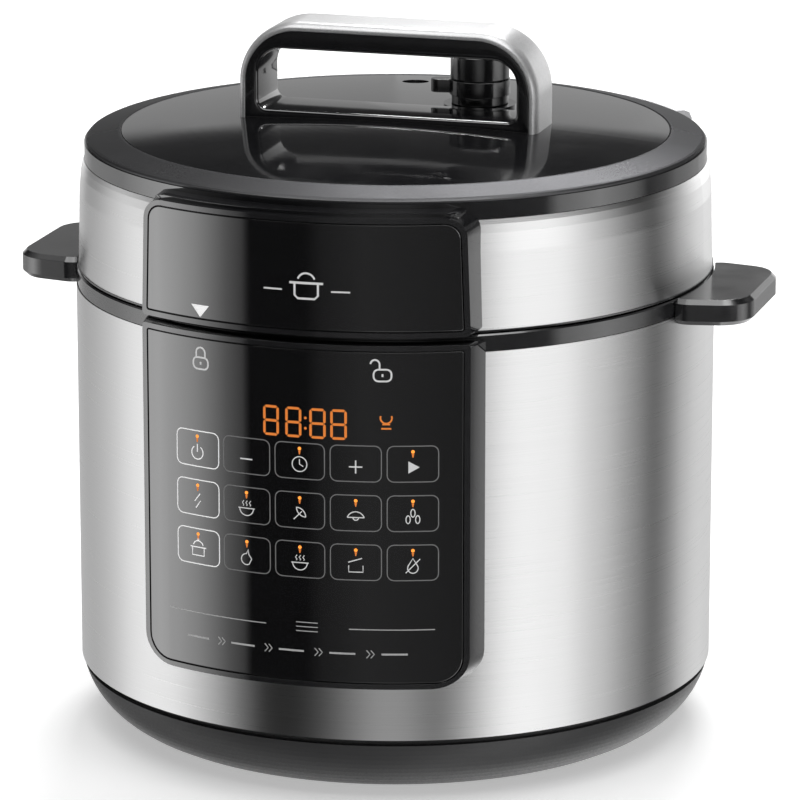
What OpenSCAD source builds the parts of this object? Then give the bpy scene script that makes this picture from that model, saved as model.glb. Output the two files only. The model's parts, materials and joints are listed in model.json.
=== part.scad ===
// Electric pressure cooker, about five litres, with a bayonet lid.
// +Z is up, the control panel faces -Y and the carry handles lie along X.
// The origin is where the body's axis meets the surface that the feet stand on.

/* [Body] */
// Outer radius of the steel body
body_r = 140; // [139:0.5:142]
// Height of the steel body's lower edge
shell_z0 = 28.3; // [28:0.1:29]
// Height of the steel body's upper edge
shell_z1 = 196.2; // [196:0.1:196.6]
// Thickness of the steel sheet
sheet = 0.8; // [0.6:0.1:1]
// Bend radius of the bowl-shaped base pan
pan_bend = 35; // [34:0.5:37]

/* [Panels] */
// Radius of the glass face of both front panels
panel_r = 150; // [149.5:0.1:150]
// Half width of the panels at their front corners
panel_half = 71.6; // [70:0.2:72]
// How much the side walls flare out per millimetre of depth
panel_draft = 0.2; // [0.1:0.05:0.25]
// The same flare on the lid's panel
lid_draft = 0.08; // [0.05:0.01:0.2]
// How much narrower each side of the lid's panel is at its top
lid_lean = 1.2; // [0:0.1:1.5]
// Lower edge of the control panel
panel_z0 = 54.1; // [53:0.1:56]
// Radius of the control panel's lower corners
panel_corner = 13; // [10:0.5:15]
// Width of the frame around each glass
panel_border = 2.2; // [2:0.1:3]

/* [Pot] */
// Outer radius of the inner pot
pot_r = 111.2; // [109:0.2:112]
// Wall of the inner pot
pot_wall = 2; // [1.6:0.1:2.4]
// Height of the heating plate's top face
plate_z = 61; // [60.6:0.1:61]

/* [Lid] */
// Height of the lid's lowest face
lid_z0 = 204.1; // [204:0.1:204.2]
// Height of the lid's crown
lid_top = 268.6; // [268.2:0.1:269]
// Radius of the glossy dome inside the rim ring
dome_r = 119.5; // [119:0.1:120]
// Number of bayonet lugs
lugs = 6; // [5:1:6]
// Width of one bayonet lug in degrees
lug_deg = 26; // [22:1:27]

/* [Handles] */
// Height of the lid handle's top face
handle_top = 310; // [306:1:312]
// Half length of the lid handle
handle_half = 67.6; // [67:0.1:69]
// Width of the lid handle
handle_w = 30; // [26:1:32]
// Reach of each carry handle from the body's axis
carry_reach = 166; // [165:1:170]

/* [Valves] */
// Place of the pressure valve on the lid
valve_at = [28, 36];
// Place of the float valve on the lid
float_at = [-18, 92];

/* [Hidden] */

$fn = 120;
e = 0.01;            // small overlap where two solids of one node are fused
gap = 0.1;           // play between pieces that are pushed together

// Base pan
pan_z0 = 1.5;        // underside, above the feet's contact plane
pan_z1 = 25.5;       // upper edge, below the shadow gap
pan_wall = 2.5;
bend_r = body_r - pan_bend;      // centre of the bowl's bend
bend_z = 34;
upstand_r = body_r - 3.5;        // outer radius of the rim that centres the shell
foot_r = 9;
foot_at = 88;
pillar_at = 106;     // the pillars that carry the outer pot
board_z = 14;        // underside of the power board
board_t = 1.6;

// Outer pot and what hangs in it
well_r = 116;        // outside of the pot well
well_z0 = 48.5;
well_t = 1.5;
step_z = 200;        // shelf that the inner pot's flange sits on
neck_r = 127.5;      // outside of the neck above the shelf
neck_z1 = 219;
mouth_r = 94.5;      // hole in the well's floor
elastic_z = 44;
elastic_t = 2;
heater_r = 92;
heater_z0 = 50;
ear_at = 102;
leg_at = 75;
tube_at = 62;        // pitch radius of the heating tube

// Panels
face_t = 1.4;                        // thickness of each glass
glass_r = panel_r - 0.2;
edge_y = sqrt(panel_r * panel_r - panel_half * panel_half);
panel_z1 = 202.3;
lid_panel_z0 = 205.6;
lid_panel_z1 = 256;
box_half = 60;                       // the panel's box inside the body
box_z0 = 68;
box_z1 = 186;
box_y = 122;
circuit_y = 130;                     // back of the control board

// Lid
band_z0 = 205.2;
band_z1 = 251.5;
cover_r = body_r - 4.2;
ledge_z = 259;
seat_z = 213.5;                      // underside of the pressure lid's rim
seat_r = 119.8;
crown_z = 247;                       // top of the pressure lid
ears_deg = [45, 135, 225, 315];
ear_z = 223;
stud_at = 110;
screw_at = 124;
handle_wall = 3.3;
opening_half = 58.4;
opening_z1 = 298.3;
opening_z0 = 271.4;
float_deg = atan2(float_at[1], float_at[0]);
float_rad = norm(float_at);
slider_z = 242;
boss_z = 242.1;                      // flat underside round the steam pipe
nut_z = boss_z - 4.3;                // underside of the steam pipe's nut

// ---------------------------------------------------------------- helpers

// Pipe between two radii and two heights
module pipe(r0, r1, z0, z1) {
    difference() {
        translate([0, 0, z0]) cylinder(r = r1, h = z1 - z0);
        translate([0, 0, z0 - 1]) cylinder(r = r0, h = z1 - z0 + 2);
    }
}

// Upright rod or drill at a place in plan
module rod(x, y, r, z0, z1) {
    translate([x, y, z0]) cylinder(r = r, h = z1 - z0, $fn = 48);
}

// Box between two corners
module box(a, b) {
    translate(a) cube(b - a);
}

// Children repeated at the given angles round the body's axis
module around(angles) {
    for (a = angles) rotate([0, 0, a]) children();
}

// Wedge of a given width, centred on +X, tall enough for any piece
module wedge(deg) {
    far = 200;
    translate([0, 0, -10])
        linear_extrude(400)
            polygon([[0, 0], [far, -far * tan(deg / 2)], [far, far * tan(deg / 2)]]);
}

// Outline of a plate with round lower and upper corners, centred on X = 0;
// lean is how much narrower each side is at the top
function corner(x, y, r, a0) =
    [for (i = [0:8]) [x + r * cos(a0 + i * 90 / 8), y + r * sin(a0 + i * 90 / 8)]];
function plate_outline(half, z0, z1, r0, r1, lean = 0) = concat(
    corner(half - r0, z0 + r0, r0, -90), corner(half - lean - r1, z1 - r1, r1, 0),
    corner(r1 + lean - half, z1 - r1, r1, 90), corner(r0 - half, z0 + r0, r0, 180));

// The outline as a slab that stands across Y, from y0 back to y1
module upright_plate(half, z0, z1, r0, r1, y0, y1, lean = 0) {
    translate([0, y1, 0]) rotate([90, 0, 0])
        linear_extrude(y1 - y0) polygon(plate_outline(half, z0, z1, r0, r1, lean));
}

// Height of the lid dome's surface at a radius, and its outline points
dome_edge_z = 263.5;
dome_bend = (dome_r * dome_r + pow(lid_top - dome_edge_z, 2)) / (2 * (lid_top - dome_edge_z));
function dome_z(r) = lid_top - dome_bend + sqrt(dome_bend * dome_bend - r * r);
function dome_points(r0, r1, drop, n) =
    [for (i = [0:n]) let (r = r0 + (r1 - r0) * i / n) [r, dome_z(r) - drop]];

// Outside of the lid's steel band, offset outwards by grow
function band_points(grow) = [
    [body_r - 1.1 + grow, band_z0], [body_r - 1.9 + grow, 238], [body_r - 2.6 + grow, 246],
    [body_r - 3.3 + grow, 249.6], [body_r - 4 + grow, band_z1]];

// Half width of a panel block at a place behind its front corners
function block_half(y, draft) = panel_half + (y + edge_y) * draft;

// Smooth route through chosen points
function spline_point(p, i, t) = let (
        n = len(p) - 1,
        a = p[max(i - 1, 0)], b = p[i], c = p[min(i + 1, n)], d = p[min(i + 2, n)])
    0.5 * (2 * b + (c - a) * t + (2 * a - 5 * b + 4 * c - d) * t * t
        + (3 * b - a - 3 * c + d) * t * t * t);
function route(p, steps) = concat(
    [for (i = [0:len(p) - 2]) for (k = [0:steps - 1]) spline_point(p, i, k / steps)],
    [p[len(p) - 1]]);

// Round tube along a route; side is any direction that the route never follows
module swept_tube(pts, r, side, sides = 8) {
    n = len(pts);
    ring = [for (i = [0:n - 1]) let (
            t = pts[min(i + 1, n - 1)] - pts[max(i - 1, 0)],
            u = cross(t, side) / norm(cross(t, side)),
            v = cross(u, t) / norm(cross(u, t)))
        for (k = [0:sides - 1])
            pts[i] + r * (cos(360 * k / sides) * u + sin(360 * k / sides) * v)];
    walls = [for (i = [0:n - 2]) for (k = [0:sides - 1]) let (m = (k + 1) % sides)
        [i * sides + k, i * sides + m, (i + 1) * sides + m, (i + 1) * sides + k]];
    caps = [[for (k = [sides - 1:-1:0]) k], [for (k = [0:sides - 1]) (n - 1) * sides + k]];
    polyhedron(ring, concat(walls, caps), convexity = 6);
}

// Compression spring of round wire about Z
module coil_spring(r, wire, turns, z0, z1) {
    steps = 14;
    total = turns * steps;
    pts = [for (i = [0:total]) [
        r * cos(360 * i / steps), r * sin(360 * i / steps),
        z0 + wire + (z1 - z0 - 2 * wire) * i / total]];
    swept_tube(pts, wire, [0, 0, 1], 6);
}

// Pan-head screw that points up, its head from z0 and its shank up to z1
module screw_up(x, y, head_r, shank_r, z0, z1) {
    head = 2.4;
    difference() {
        rod(x, y, head_r, z0, z0 + head);
        translate([x, y, z0 - 1]) cylinder(r = head_r * 0.45, h = 2.2, $fn = 6);
    }
    rod(x, y, shank_r, z0 + head - e, z1);
}

// ---------------------------------------------------------------- base

module rubber_feet() {
    color([0.08, 0.08, 0.08])
    around(ears_deg) {
        rod(foot_at, 0, foot_r, 0, pan_z0);
        rod(foot_at, 0, 3, pan_z0 - e, pan_z0 + pan_wall + 3);
        rod(foot_at, 0, 4.4, pan_z0 + pan_wall + gap, pan_z0 + pan_wall + 2);
    }
}

function pan_arc(off, za, zb, n) = [for (i = [0:n])
    let (z = za + (zb - za) * i / n)
        [bend_r + sqrt(pow(pan_bend - off, 2) - pow(z - bend_z, 2)), z]];

module base_pan() {
    inner_z = bend_z - sqrt(pow(pan_bend - pan_wall, 2) - pow(upstand_r - 3 - bend_r, 2));
    floor_z = pan_z0 + pan_wall;
    vent_w = 4;
    color([0.16, 0.16, 0.17])
    difference() {
        union() {
            rotate_extrude()
                polygon(concat(
                    pan_arc(0, pan_z0, pan_z1, 10),
                    [[upstand_r, pan_z1], [upstand_r, 36], [upstand_r - 3, 36]],
                    pan_arc(pan_wall, inner_z, floor_z, 8),
                    [[0, floor_z], [0, pan_z0]]));
            around(ears_deg) rod(pillar_at, 0, 5.5, floor_z - e, well_z0);
            for (x = [-43, 43], y = [26, 78]) rod(x, y, 4, floor_z - e, board_z);
            box([-70, -26, floor_z - e], [-50, -14, 27]);
        }
        around(ears_deg) {
            rod(foot_at, 0, 3.1, 0, floor_z + 1);
            rod(pillar_at, 0, 4.2, 0, well_z0 - 8.5);
            rod(pillar_at, 0, 2.1, 0, well_z0 + 1);
        }
        for (x = [-43, 43], y = [26, 78]) rod(x, y, 1.6, floor_z + 2, board_z + 1);
        around([for (i = [0:23]) i * 15])
            box([40, -vent_w / 2, 0], [62, vent_w / 2, floor_z + 1]);
        box([-inlet_half - 0.3, 110, inlet_z - 12.5], [inlet_half + 0.3, 150, 40]);
    }
}

module base_screws() {
    color([0.7, 0.7, 0.7])
    around(ears_deg) screw_up(pillar_at, 0, 3.8, 2, well_z0 - 10.9, well_z0 + 3.5);
}

module outer_shell() {
    color([0.78, 0.78, 0.78])
    difference() {
        rotate_extrude()
            polygon([
                [upstand_r + 0.2, shell_z0], [body_r, shell_z0], [body_r, shell_z1],
                [body_r - 3, shell_z1], [body_r - 3, shell_z1 - sheet],
                [body_r - sheet, shell_z1 - sheet], [body_r - sheet, shell_z0 + sheet],
                [upstand_r + 0.2, shell_z0 + sheet]]);
        box([-box_half - 0.2, -160, box_z0 - 0.2], [box_half + 0.2, -100, box_z1 + 0.2]);
        box([-inlet_half - 0.15, 120, inlet_z - 12.15], [inlet_half + 0.15, 160, inlet_z + 12.15]);
        box([-bracket_half - 0.1, 110, bracket_z0 - 0.1],
            [bracket_half + 0.1, 160, bracket_z1 + 0.1]);
        for (side = [-1, 1]) translate([side * 140, 0, 0])
            box([-12, -tongue_half - 0.2, tongue_z0 - 0.1],
                [12, tongue_half + 0.2, shell_z1 + 1]);
    }
}

ring_z0 = shell_z1 + 0.1;
ring_z1 = lid_z0 - 0.5;
ring_r = body_r - 0.4;
tongue_z0 = 191;
tongue_z1 = 195;
tongue_half = 22;
carry_screw = [132.5, 14];
drain_y = 133.5;

module middle_ring() {
    gutter_z = ring_z0 + 2.5;
    color([0.1, 0.1, 0.1])
    difference() {
        union() {
            rotate_extrude()
                polygon([
                    [129, ring_z0], [133.8, ring_z0], [133.8, 193], [136.6, 193],
                    [136.6, ring_z0], [ring_r, ring_z0], [ring_r, ring_z1 - 0.6],
                    [ring_r - 0.6, ring_z1], [136.2, ring_z1], [136.2, gutter_z],
                    [131, gutter_z], [131, ring_z1 - 0.6], [129, ring_z1 - 0.6]]);
            rod(0, drain_y, 3.3, 187.5, gutter_z - e);
        }
        rod(0, drain_y, 2.4, 180, 210);
        for (side = [-1, 1]) {
            translate([side * 131, 0, 0])
                box([-13, -tongue_half - 0.5, 180], [13, tongue_half + 0.5, tongue_z1 + 0.05]);
            for (y = [-carry_screw[1], carry_screw[1]])
                rod(side * carry_screw[0], y, 2, 180, gutter_z - 0.7);
        }
    }
}

// Right-hand carry handle; the left one is its mirror image
module carry_handle() {
    top_z = 204.2;
    low_z = 193;
    edge = 2;
    tip_r = 16;
    tip_y = 20;
    difference() {
        union() {
            difference() {
                hull() {
                    for (side = [-1, 1]) {
                        rod(140, side * 28, 10, low_z + edge, top_z - edge);
                        rod(140, side * 28, 10 - edge, low_z, top_z);
                        rod(carry_reach - tip_r, side * tip_y, tip_r, low_z + edge, top_z - edge);
                        rod(carry_reach - tip_r, side * tip_y, tip_r - edge, low_z, top_z);
                    }
                }
                translate([0, 0, 150]) cylinder(r = body_r + 0.15, h = 100);
                hull() for (y = [-18, 18], x = [148, 155]) rod(x, y, 4, 180, top_z - 3.2);
            }
            box([124, -tongue_half, tongue_z0], [143, tongue_half, tongue_z1]);
        }
        for (y = [-carry_screw[1], carry_screw[1]])
            rod(carry_screw[0], y, 2.1, 180, 200);
    }
}
module carry_handle_right() {
    color([0.09, 0.09, 0.1]) carry_handle();
}
module carry_handle_left() {
    color([0.09, 0.09, 0.1]) mirror([1, 0, 0]) carry_handle();
}

module carry_handle_screws() {
    color([0.7, 0.7, 0.7])
    for (x = [-1, 1], y = [-1, 1])
        screw_up(x * carry_screw[0], y * carry_screw[1], 3.4, 1.9, tongue_z0 - 2.4, 197.6);
}

// ---------------------------------------------------------------- control panel

// Drafted block that both front panels are cut from
module panel_block(z0, z1, r0, r1, draft, lean = 0) {
    front = -panel_r - 2;
    back = -114;
    intersection() {
        hull() {
            upright_plate(block_half(front, draft), z0, z1, r0, r1, front, front + 1, lean);
            upright_plate(block_half(back, draft), z0, z1, r0, r1, back - 1, back, lean);
        }
        translate([0, 0, z0 - 10]) cylinder(r = panel_r, h = z1 - z0 + 20);
    }
}

// Recess for a glass, a little deeper than the glass
module glass_pocket(z0, z1, r0, r1, lean = 0) {
    b = panel_border;
    difference() {
        upright_plate(panel_half - b, z0 + b, z1 - b, r0 - b, r1 - b, -170, -100, lean);
        cylinder(r = glass_r - face_t - 0.3, h = 300);
    }
}

// A glass, with a fine groove left all round it
module panel_glass(z0, z1, r0, r1, lean = 0) {
    b = panel_border + 0.5;
    intersection() {
        upright_plate(panel_half - b, z0 + b, z1 - b, r0 - b, r1 - b, -170, -100, lean);
        pipe(glass_r - face_t, glass_r, z0, z1);
    }
}

// Chamfers where the panels' side walls run out at the parting line
module side_notch(z) {
    for (side = [-1, 1])
        translate([side * (panel_half + 4.4), -160, z]) rotate([0, 45, 0])
            translate([-3.2, 0, -3.2]) cube([6.4, 60, 6.4]);
}

module control_panel_frame() {
    color([0.05, 0.05, 0.05])
    difference() {
        union() {
            difference() {
                panel_block(panel_z0, panel_z1, panel_corner, 1.5, panel_draft);
                translate([0, 0, 40]) cylinder(r = body_r + 0.1, h = 200);
            }
            intersection() {
                box([-box_half, -160, box_z0], [box_half, -box_y, box_z1]);
                translate([0, 0, 40]) cylinder(r = body_r + 3, h = 200);
            }
        }
        box([-box_half + 2, -170, box_z0 + 2], [box_half - 2, -box_y + 1, box_z1 - 2]);
        glass_pocket(panel_z0, panel_z1, panel_corner, 3.5);
        side_notch(panel_z1 + 1.2);
        box([-8, -127, box_z0 - 1], [8, -box_y + 1, box_z0 + 3]);
    }
    color([0.05, 0.05, 0.05])
    for (x = [-1, 1], z = [box_z0 + 2 - e, box_z1 - 12])
        difference() {
            translate([x * (box_half - 7), 0, 0])
                box([-5 - e, -circuit_y - 6, z], [5 + e, -circuit_y - board_t, z + 10 + e]);
            translate([x * (box_half - 7), -circuit_y - 5, z + 5]) rotate([-90, 0, 0])
                cylinder(r = 1.3, h = 10, $fn = 48);
        }
}

module control_panel_glass() {
    color([0.02, 0.02, 0.02])
    panel_glass(panel_z0, panel_z1, panel_corner, 3.5);
}

display_x = 5;
module display_module() {
    color([0.12, 0.05, 0.03])
    difference() {
        box([display_x - 24, -145.2, 158], [display_x + 24, -circuit_y - board_t, 180]);
        box([display_x - 22, -150, 160], [display_x + 22, -144.2, 178]);
    }
}

module control_board() {
    color([0.1, 0.3, 0.15])
    difference() {
        union() {
            box([-box_half + 3, -circuit_y - board_t, box_z0 + 3],
                [box_half - 3, -circuit_y, box_z1 - 3]);
            box([-9, -circuit_y - e, box_z0 + 8], [9, -circuit_y + 5, box_z0 + 14]);
            box([-30, -circuit_y - e, 110], [-14, -circuit_y + 2, 126]);
        }
        for (x = [-1, 1], z = [box_z0 + 7, box_z1 - 7])
            translate([x * (box_half - 7), -circuit_y - 4, z]) rotate([-90, 0, 0])
                cylinder(r = 1.7, h = 8, $fn = 48);
    }
}

// Touch keys: middle column, distance between columns, height of each row
key_x = 3;
key_pitch = 23.8;
key_z = [152, 130.7, 109.4];
module touch_pads() {
    color([0.2, 0.2, 0.2])
    for (i = [-2:2], z = key_z) {
        x = key_x + i * key_pitch;
        reach = sqrt(pow(glass_r - face_t, 2) - pow(abs(x) + 4, 2));
        translate([x, -reach + 0.2, z]) rotate([-90, 0, 0])
            cylinder(r = 3.5, h = reach - 0.2 - circuit_y - board_t, $fn = 48);
    }
}

module board_screws() {
    color([0.7, 0.7, 0.7]) {
        for (x = [-43, 43], y = [26, 78]) {
            rod(x, y, 1.5, board_z - 6, board_z + board_t + e);
            rod(x, y, 3, board_z + board_t, board_z + board_t + 2);
        }
        for (x = [-1, 1], z = [box_z0 + 7, box_z1 - 7])
            translate([x * (box_half - 7), 0, z]) rotate([-90, 0, 0]) {
                translate([0, 0, -circuit_y - 4]) cylinder(r = 1.2, h = 4 + e, $fn = 48);
                translate([0, 0, -circuit_y]) cylinder(r = 2.8, h = 1.8, $fn = 48);
            }
    }
}

// ---------------------------------------------------------------- electrics

part_z = board_z + board_t;
module power_board() {
    color([0.1, 0.35, 0.2])
    difference() {
        union() {
            box([-49, 18, board_z], [49, 84, part_z]);
            box([-20, 74, part_z - e], [20, 82, part_z + 9]);
            for (x = [-30, 30]) box([x - 3, 22, part_z - e], [x + 3, 29, part_z + 7]);
            box([-9, 19, part_z - e], [9, 25, part_z + 6]);
        }
        for (x = [-43, 43], y = [26, 78]) rod(x, y, 1.7, 0, 20);
    }
}

module transformer() {
    color([0.35, 0.3, 0.2]) {
        difference() {
            box([-40, 42, part_z], [-8, 64, part_z + 22]);
            for (y = [40, 60]) box([-35, y, part_z + 6], [-13, y + 6, part_z + 16]);
        }
        for (y = [42.6, 60]) box([-34.6, y, part_z + 6.4], [-13.4, y + 3.4, part_z + 15.6]);
    }
}

module relay() {
    color([0.1, 0.2, 0.5]) box([6, 50, part_z], [25, 65, part_z + 15.5]);
}

module capacitors() {
    color([0.15, 0.15, 0.35]) {
        rod(37, 46, 6.5, part_z, part_z + 21);
        rod(37, 62, 5, part_z, part_z + 16);
        box([6, 32, part_z], [24, 40, part_z + 13]);
    }
}

module outer_pot() {
    t = well_t;
    color([0.7, 0.7, 0.7])
    difference() {
        union() {
            rotate_extrude()
                polygon([
                    [mouth_r, well_z0], [well_r - 3.5, well_z0], [well_r, well_z0 + 3.5],
                    [well_r, step_z], [neck_r, step_z], [neck_r, neck_z1],
                    [neck_r - t, neck_z1], [neck_r - t, step_z + t], [well_r - t, step_z + t],
                    [well_r - t, well_z0 + 4.2], [well_r - 4.2, well_z0 + t],
                    [mouth_r, well_z0 + t]]);
            around([for (i = [0:lugs - 1]) i * 360 / lugs])
                intersection() {
                    pipe(seat_r + 0.7, neck_r - t / 2, neck_z1 - 2.5, neck_z1);
                    wedge(lug_deg);
                }
        }
        around([0, 120, 240]) rod(ear_at, 0, 2.1, 40, 60);
        around(ears_deg) rod(pillar_at, 0, 2.1, 40, 60);
    }
}

module elastic_plate() {
    z1 = elastic_z + elastic_t;
    color([0.6, 0.6, 0.62])
    difference() {
        union() {
            pipe(30, 88, elastic_z, z1);
            around([0, 120, 240]) {
                box([80, -7, elastic_z], [ear_at + 6, 7, z1]);
                rod(ear_at, 0, 4, z1 - e, well_z0);
            }
        }
        around([0, 120, 240]) rod(ear_at, 0, 2.1, 40, 60);
        around([60, 180, 300]) rod(leg_at, 0, 2.1, 40, 60);
        around([250, 290]) rod(tube_at, 0, 8, 40, 60);
    }
}

module heating_plate() {
    color([0.75, 0.75, 0.76])
    difference() {
        union() {
            rotate_extrude()
                polygon([
                    [15, plate_z - 2.8], [15, plate_z], [heater_r - 2, plate_z],
                    [heater_r, plate_z - 2], [heater_r, heater_z0 + 3], [heater_r - 3, heater_z0],
                    [17, heater_z0], [17, plate_z - 2.8]]);
            around([60, 180, 300]) rod(leg_at, 0, 5, elastic_z + elastic_t, heater_z0 + e);
        }
        around([60, 180, 300]) rod(leg_at, 0, 2, 40, heater_z0 + 5);
        around([250, 290]) rod(tube_at, 0, 3.1, 40, heater_z0 + 6);
    }
}

module heater_screws() {
    z0 = elastic_z - 2.4;
    color([0.7, 0.7, 0.7]) {
        around([0, 120, 240]) screw_up(ear_at, 0, 3.8, 1.95, z0, well_z0 + well_t + 2);
        around([60, 180, 300]) screw_up(leg_at, 0, 3.8, 1.9, z0, heater_z0 + 4);
    }
}

module element_terminals() {
    color([0.8, 0.78, 0.7])
    around([250, 290]) {
        rod(tube_at, 0, 3, 42, heater_z0 + 5.5);
        rod(tube_at, 0, 1.5, 37, 42 + e);
    }
}

holder_z0 = 36;
sensor_rim_z = 53;
module thermostat_holder() {
    color([0.65, 0.65, 0.65])
    difference() {
        union() {
            rod(0, 0, 18.5, holder_z0, heater_z0);
            rod(0, 0, 26, heater_z0 - 1.5, heater_z0);
        }
        rod(0, 0, 17, holder_z0 + 1.2, heater_z0 + 1);
        rod(0, 0, 5, 0, 60);
    }
}

module thermostat_sensor() {
    color([0.82, 0.82, 0.82])
    rotate_extrude()
        polygon([
            [0, plate_z], [13.2, plate_z], [14, plate_z - 0.8], [14, sensor_rim_z + 1.2],
            [16.2, sensor_rim_z + 1.2], [16.2, sensor_rim_z], [12.8, sensor_rim_z],
            [12.8, plate_z - 1.2], [0, plate_z - 1.2]]);
}

module sensor_spring() {
    color([0.7, 0.7, 0.7])
    coil_spring(14, 0.8, 4, holder_z0 + 1.2, sensor_rim_z);
}

module thermal_fuse() {
    color([0.9, 0.9, 0.85])
    rotate([0, 0, 20]) {
        translate([38, 0, 48]) rotate([0, 90, 0]) cylinder(r = 1.7, h = 14, $fn = 48);
        difference() {
            box([42, -4.5, 49], [48, 4.5, heater_z0]);
            translate([30, 0, 48]) rotate([0, 90, 0]) cylinder(r = 1.75, h = 30, $fn = 48);
        }
    }
}

module pressure_switch() {
    color([0.85, 0.85, 0.8]) {
        box([-73, -28, 27], [-47, -12, 40]);
        rod(-60, -20, 2, 40 - e, elastic_z - 0.2);
    }
}

inlet_half = 15.5;
inlet_z = 44;
module power_inlet() {
    color([0.07, 0.07, 0.07])
    difference() {
        union() {
            intersection() {
                box([-inlet_half, 136.5, inlet_z - 12], [inlet_half, 150, inlet_z + 12]);
                pipe(130, body_r + 0.4, 0, 100);
            }
            box([-13.5, 118, inlet_z - 10], [13.5, 136.5 + e, inlet_z + 10]);
        }
        intersection() {
            box([-11.6, 121, inlet_z - 7.8], [11.6, 150, inlet_z + 7.8]);
            translate([0, 160, inlet_z - 2]) rotate([90, 0, 0]) cylinder(r = 17.5, h = 60, $fn = 4);
        }
        for (p = [[-7, -2], [0, 2], [7, -2]])
            translate([p[0], 0, inlet_z + p[1]]) box([-2.05, 110, -1.05], [2.05, 122, 1.05]);
    }
}

module inlet_pins() {
    color([0.8, 0.75, 0.5])
    for (p = [[-7, -2], [0, 2], [7, -2]])
        translate([p[0], 0, inlet_z + p[1]]) box([-2, 110.5, -1], [2, 136.5, 1]);
}

bracket_half = 26;
bracket_z0 = 144;
bracket_z1 = 192;
module cup_bracket() {
    color([0.09, 0.09, 0.09])
    difference() {
        intersection() {
            box([-bracket_half, 122, bracket_z0], [bracket_half, 150, bracket_z1]);
            translate([0, 0, 100]) cylinder(r = body_r + 0.5, h = 120);
        }
        box([-bracket_half + 2.4, 124, bracket_z0 + 2.4],
            [bracket_half - 2.4, 160, bracket_z1 - 2.4]);
        rod(0, drain_y, 4, 180, 200);
    }
}

module condensate_cup() {
    half = bracket_half - 2.8;
    z0 = bracket_z0 + 2.8;
    z1 = 185.5;
    color([0.75, 0.78, 0.8])
    difference() {
        intersection() {
            box([-half, 125, z0], [half, 160, z1]);
            translate([0, 0, 100]) cylinder(r = panel_r, h = 120);
        }
        intersection() {
            box([-half + 1.6, 126.6, z0 + 1.6], [half - 1.6, 160, z1 + 1]);
            translate([0, 0, 100]) cylinder(r = panel_r - 2, h = 120);
        }
    }
}

module mains_leads() {
    color([0.5, 0.25, 0.1])
    for (side = [-1, 1])
        swept_tube(route([
            [side * 7, 110.5, 42], [side * 7, 106, 41], [side * 9, 98, 32],
            [side * 13, 92, 23], [side * 14, 86, 20], [side * 14, 82, 20]], 4), 1.5, [1, 0, 0]);
}

module heater_leads() {
    color([0.75, 0.1, 0.08])
    for (side = [-1, 1])
        swept_tube(route([
            [side * 30, 22, 19], [side * 30, 14, 19], [side * 29, -20, 19],
            [side * 25, -48, 22], [side * 21.2, -57.6, 30], [side * 21.2, -58.26, 37]], 4),
            1.3, [1, 0, 0]);
}

module ribbon_cable() {
    color([0.6, 0.6, 0.6])
    translate([-7, 0, 0]) rotate([90, 0, 90])
        linear_extrude(14)
            polygon([
                [19, 17], [-96, 17], [-118, 38], [-123.5, 60], [-125, 77], [-125, 81],
                [-124, 81], [-124, 77], [-122.5, 60], [-117.2, 38.5], [-95.6, 18], [19, 18]]);
}

// ---------------------------------------------------------------- pot and seal

module inner_pot() {
    z0 = plate_z + 0.2;
    rim_z = step_z + well_t + 0.2;
    rim_t = 1.8;
    bend = 16;
    t = pot_wall;
    arc = [for (i = [0:8]) i * 90 / 8];
    color([0.2, 0.2, 0.2])
    rotate_extrude()
        polygon(concat(
            [[0, z0]],
            [for (a = arc) [pot_r - bend + bend * sin(a), z0 + bend - bend * cos(a)]],
            [[pot_r, rim_z], [120, rim_z], [120, rim_z + rim_t]],
            [[pot_r - t + 1.5, rim_z + rim_t], [pot_r - t, rim_z + rim_t - 1.5]],
            [for (i = [8:-1:0]) let (a = arc[i], b = bend - t)
                [pot_r - bend + b * sin(a), z0 + bend - b * cos(a)]],
            [[0, z0 + t]]));
}

seal_z0 = 203.8;
seal_z1 = seat_z - 0.3;
module sealing_ring() {
    color([0.85, 0.85, 0.82])
    rotate_extrude()
        polygon([
            [110.5, seal_z0 + 0.6], [112, seal_z0], [118.3, seal_z0], [118.9, seal_z0 + 0.8],
            [118.9, seal_z1 - 0.8], [118.3, seal_z1], [109, seal_z1], [108, seal_z1 - 0.6],
            [109, seal_z1 - 1.8], [116.4, seal_z1 - 2.2], [116.4, seal_z0 + 2.2],
            [112, seal_z0 + 1.6]]);
}

// ---------------------------------------------------------------- lid

module lid_base_ring() {
    color([0.07, 0.07, 0.07])
    difference() {
        union() {
            rotate_extrude()
                polygon([
                    [129.5, lid_z0], [body_r - 1.3, lid_z0], [body_r - 0.7, lid_z0 + 0.5],
                    [body_r - 0.7, band_z0 - 0.05], [134.2, band_z0 - 0.05], [134.2, ear_z + 3],
                    [132, ear_z + 3], [132, band_z0 + 1], [129.5, band_z0 + 1]]);
            around(ears_deg)
                box([stud_at - 6, -8, ear_z], [133, 8, ear_z + 3]);
        }
        around(ears_deg) {
            rod(stud_at, 0, 2.6, 200, 240);
            rod(screw_at, 0, 2.1, 200, 240);
        }
        lid_peg_holes(3.1);
    }
}

// Places where the two outer covers plug into the lid
module lid_peg_holes(r) {
    for (a = [-110, -70, 65, 90, 115])
        rotate([0, 0, a]) translate([128, 0, 215]) rotate([0, 90, 0])
            cylinder(r = r, h = 14, $fn = 48);
}
module lid_pegs(angles) {
    for (a = angles)
        rotate([0, 0, a]) translate([131, 0, 215]) rotate([0, 90, 0])
            cylinder(r = 3, h = 12, $fn = 48);
}

module lid_band() {
    t = sheet;
    color([0.8, 0.8, 0.8])
    difference() {
        rotate_extrude()
            polygon(concat(
                band_points(0),
                [[133, band_z1], [133, band_z1 - t], [body_r - 4 - t, band_z1 - t]],
                [[body_r - 3.4 - t, 249], [body_r - 2.6 - t, 246], [body_r - 1.9 - t, 238],
                 [body_r - 1.1 - t, band_z0]]));
        lid_peg_holes(3.1);
    }
}

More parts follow.
